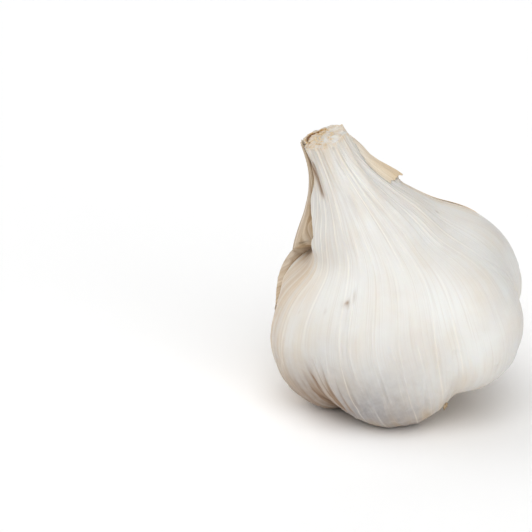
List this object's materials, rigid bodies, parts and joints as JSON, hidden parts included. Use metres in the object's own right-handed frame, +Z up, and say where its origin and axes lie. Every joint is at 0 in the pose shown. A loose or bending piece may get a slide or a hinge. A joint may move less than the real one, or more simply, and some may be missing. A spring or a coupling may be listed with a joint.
{
  "type": "garlic bulb",
  "caption": "Whole garlic bulb lying on its cloves, neck cut short, in papery white skin with a torn tan outer wrapper round the back and trimmed roots.",
  "frame": {"origin": "on the surface that the bulb rests on, under the middle of its box", "axes": "+Z up; the bulb's axis lies 16 degrees over towards -X, so its neck leans left seen from -Y, which is its front"},
  "size_m": [0.0653, 0.0628, 0.0735],
  "materials": {
    "white_skin": "dry papery skin with a slight sheen",
    "tan_skin": "thin dry skin, stained tan",
    "dried_sheath": "dried leaf sheath",
    "root_plate": "corky and rough"
  },
  "bodies": {
    "root": {"bulb": "white_skin", "outer_wrapper": "tan_skin", "neck_sheaths": "dried_sheath", "root_plate": "root_plate"}
  },
  "joints": []
}
